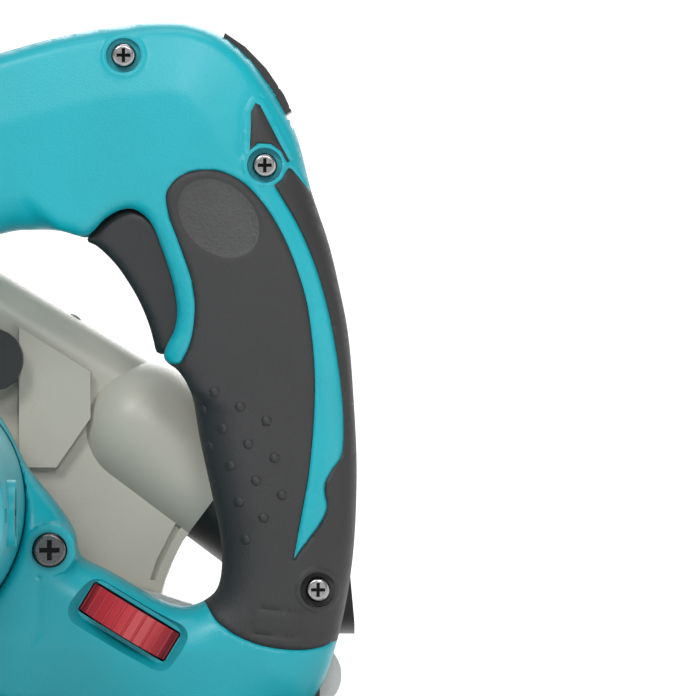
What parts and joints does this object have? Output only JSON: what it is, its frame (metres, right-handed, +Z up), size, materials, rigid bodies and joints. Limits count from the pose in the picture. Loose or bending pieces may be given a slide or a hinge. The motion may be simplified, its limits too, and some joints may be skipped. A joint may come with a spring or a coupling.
{
  "type": "plunge cut circular saw",
  "caption": "Corded plunge-cut circular saw with rear loop handle, soft grip, enclosed blade case, swivelling dust nozzle, tilting head and flat base for a guide rail.",
  "frame": {"origin": "on the flat sole, under the blade's axis in the raised rest pose", "axes": "+Z up from the sole, -X the cutting direction, -Y the motor side, +Y the blade side"},
  "size_m": [0.342, 0.2005, 0.2507],
  "materials": {
    "teal_plastic": "satin",
    "soft_rubber": "matt",
    "black_plastic": "satin",
    "red_plastic": "satin",
    "cast_case": "satin",
    "cast_alloy": "cast",
    "machined_steel": "brushed",
    "dark_steel": "blackened",
    "carbide": "ground",
    "copper": "bright",
    "clear_window": "clear",
    "board_green": "satin"
  },
  "bodies": {
    "base": {"base_plate": "cast_alloy", "front_quadrant": "cast_alloy", "rear_quadrant": "cast_alloy", "quadrant_screws": "dark_steel", "wrench_clip": "black_plastic"},
    "case": {"blade_case": "cast_case", "case_cover": "cast_case", "case_cover_screws": "dark_steel", "sight_window": "clear_window", "front_tilt_bracket": "cast_alloy", "rear_tilt_bracket": "cast_alloy", "bracket_screws": "dark_steel", "clamp_bolts": "machined_steel", "return_spring": "dark_steel", "depth_scale": "cast_alloy"},
    "head": {"handle_left_half": "teal_plastic", "handle_right_half": "teal_plastic", "soft_grip_left": "soft_rubber", "soft_grip_right": "soft_rubber", "trigger_pin": "machined_steel", "switch": "black_plastic", "control_board": "board_green", "cord_inlet": "soft_rubber", "handle_screws": "dark_steel", "motor_housing": "teal_plastic", "motor_rear_cover": "teal_plastic", "motor_screws": "dark_steel", "brush_caps": "black_plastic", "brush_holders": "copper", "stator_core": "machined_steel", "field_coils": "copper", "gear_housing": "cast_alloy", "bearings": "machined_steel", "pivot_pin": "machined_steel", "front_handle": "teal_plastic", "front_handle_grip": "soft_rubber"},
    "blade": {"spindle": "machined_steel", "drive_gear": "machined_steel", "blade_flanges": "dark_steel", "saw_blade": "machined_steel", "carbide_tips": "carbide", "blade_bolt": "dark_steel"},
    "rotor": {"motor_shaft": "machined_steel", "armature_core": "machined_steel", "armature_windings": "copper", "commutator": "copper", "cooling_fan": "black_plastic"},
    "trigger": {"trigger": "black_plastic"},
    "lock_off": {"lock_off_button": "black_plastic"},
    "dial": {"speed_dial": "red_plastic"},
    "shaft_lock": {"shaft_lock_button": "red_plastic"},
    "depth_slider": {"depth_stop": "teal_plastic"},
    "depth_knob": {"depth_stop_knob": "black_plastic"},
    "head_lock": {"head_lock_lever": "black_plastic"},
    "front_knob": {"front_clamp_knob": "black_plastic"},
    "rear_knob": {"rear_clamp_knob": "black_plastic"},
    "nozzle": {"dust_nozzle": "black_plastic"},
    "cam_front": {"rail_cam_front": "black_plastic"},
    "cam_rear": {"rail_cam_rear": "black_plastic"},
    "wrench": {"hex_wrench": "dark_steel"}
  },
  "joints": [
    {"name": "bevel_tilt", "type": "hinge", "parent": "base", "child": "case", "pos_m": [0, 0.062, 0], "axis": [-1, 0, 0], "range_deg": [-1, 48]},
    {"name": "plunge", "type": "hinge", "parent": "case", "child": "head", "pos_m": [0.134, 0.046, 0.056], "axis": [0, -1, 0], "range_deg": [0, 24.38], "stiffness_Nm_per_rad": 3, "springref_deg": -100.27},
    {"name": "blade_spin", "type": "hinge", "parent": "head", "child": "blade", "pos_m": [0, 0.062, 0.086], "axis": [0, 1, 0], "continuous": true},
    {"name": "motor_spin", "type": "hinge", "parent": "head", "child": "rotor", "pos_m": [0.0097, 0, 0.1074], "axis": [0, 1, 0], "continuous": true},
    {"name": "trigger_squeeze", "type": "hinge", "parent": "head", "child": "trigger", "pos_m": [0.084, 0.022, 0.199], "axis": [0, -1, 0], "range_deg": [0, 11], "stiffness_Nm_per_rad": 0.5, "springref_deg": -6.88},
    {"name": "lock_off_slide", "type": "slide", "parent": "head", "child": "lock_off", "axis": [-0.7641, 0, -0.6451], "range_m": [0, 0.003], "stiffness_N_per_m": 400, "springref_m": -0.002},
    {"name": "dial_turn", "type": "hinge", "parent": "head", "child": "dial", "pos_m": [0.0814, 0.0196, 0.0734], "axis": [0.5201, 0, 0.8541], "range_deg": [0, 270]},
    {"name": "shaft_lock_press", "type": "slide", "parent": "head", "child": "shaft_lock", "axis": [1, 0, 0], "range_m": [0, 0.003], "stiffness_N_per_m": 400, "springref_m": -0.002},
    {"name": "depth_slide", "type": "hinge", "parent": "case", "child": "depth_slider", "pos_m": [0.134, 0.05, 0.056], "axis": [0, -1, 0], "range_deg": [-25, 0]},
    {"name": "depth_knob_turn", "type": "hinge", "parent": "depth_slider", "child": "depth_knob", "pos_m": [-0.07349, 0.045, 0.07051], "axis": [0, 1, 0], "range_deg": [-180, 180]},
    {"name": "head_lock_turn", "type": "hinge", "parent": "case", "child": "head_lock", "pos_m": [0.039, 0.046, 0.1506], "axis": [0, 1, 0], "range_deg": [0, 60]},
    {"name": "front_knob_turn", "type": "hinge", "parent": "case", "child": "front_knob", "pos_m": [-0.115, 0.03048, 0.02463], "axis": [-1, 0, 0], "range_deg": [0, 180]},
    {"name": "rear_knob_turn", "type": "hinge", "parent": "case", "child": "rear_knob", "pos_m": [0.168, 0.03048, 0.02463], "axis": [1, 0, 0], "range_deg": [0, 180]},
    {"name": "nozzle_swivel", "type": "hinge", "parent": "case", "child": "nozzle", "pos_m": [0.1081, 0.0625, 0.112], "axis": [0.8, 0, -0.6], "range_deg": [0, 45]},
    {"name": "front_cam_turn", "type": "hinge", "parent": "base", "child": "cam_front", "pos_m": [-0.12, -0.044, 0.008], "axis": [0, 0, 1], "range_deg": [-90, 90]},
    {"name": "rear_cam_turn", "type": "hinge", "parent": "base", "child": "cam_rear", "pos_m": [0.172, -0.044, 0.008], "axis": [0, 0, 1], "range_deg": [-90, 90]},
    {"name": "wrench_pull", "type": "slide", "parent": "base", "child": "wrench", "axis": [0, 0, 1], "range_m": [0, 0.03]}
  ],
  "couplings": [
    {"joint": "motor_spin", "follows": "blade_spin", "ratio": -4.2222}
  ]
}
